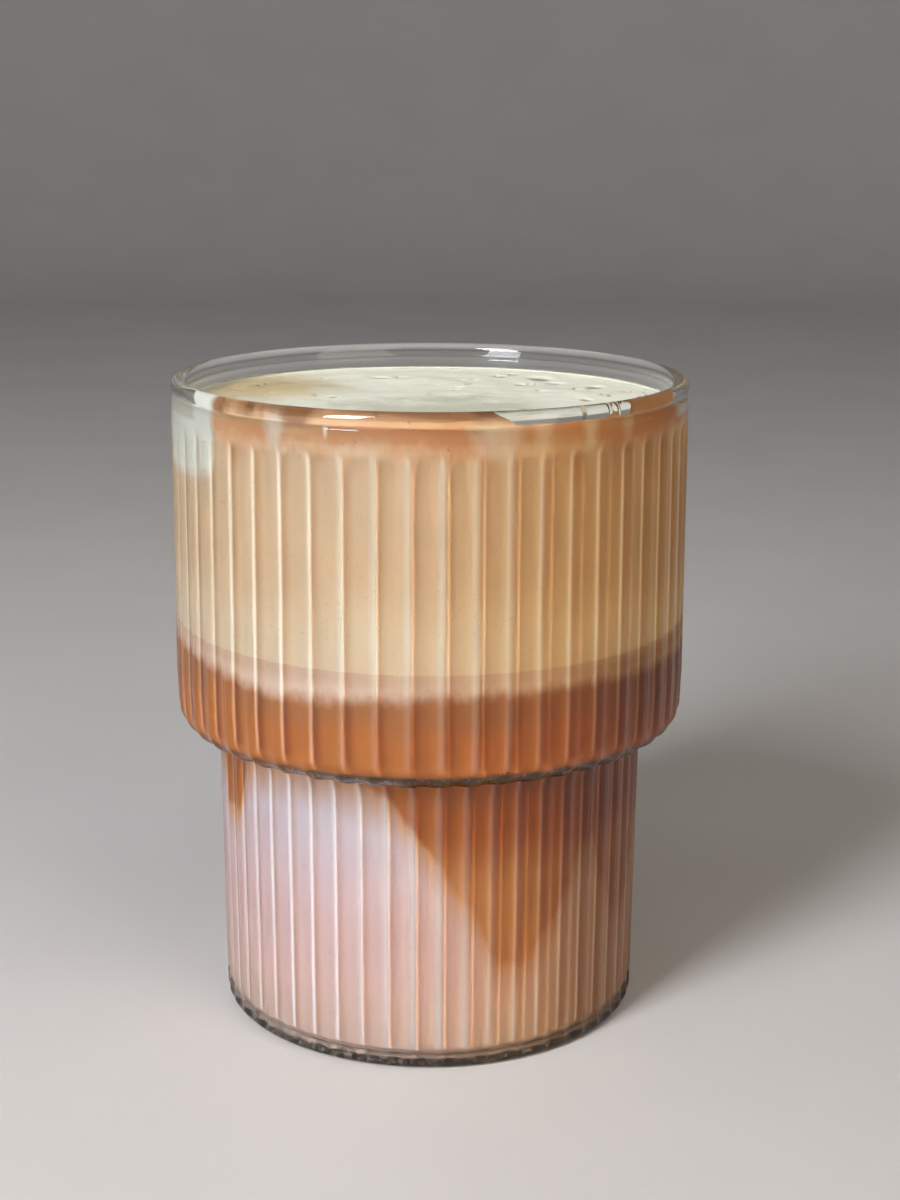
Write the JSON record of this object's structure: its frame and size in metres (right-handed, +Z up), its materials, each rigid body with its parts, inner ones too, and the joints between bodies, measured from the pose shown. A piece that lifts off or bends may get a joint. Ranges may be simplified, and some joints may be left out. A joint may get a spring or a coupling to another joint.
{
  "type": "glass of latte",
  "caption": "Fluted clear glass tumbler, wide above and narrow below, filled with layered milk, coffee and latte under a cap of pale foam.",
  "frame": {"origin": "centre of the foot, on the plane that the glass stands on", "axes": "+Z up along the glass's axis, -Y towards the side that the picture shows"},
  "size_m": [0.0792, 0.0792, 0.1],
  "materials": {
    "glass": "clear, polished, fluted outside",
    "milk": "opaque liquid against glass, clouded with coffee",
    "coffee": "milky coffee, liquid against glass",
    "blend": "cloudy liquid against glass",
    "latte": "opaque milky coffee against glass",
    "foam": "fine soft foam"
  },
  "bodies": {
    "root": {"glass_tumbler": "glass", "milk_layer": "milk", "coffee_layer": "coffee", "pale_blend_band": "blend", "latte_layer": "latte", "foam_cap": "foam"}
  },
  "joints": []
}
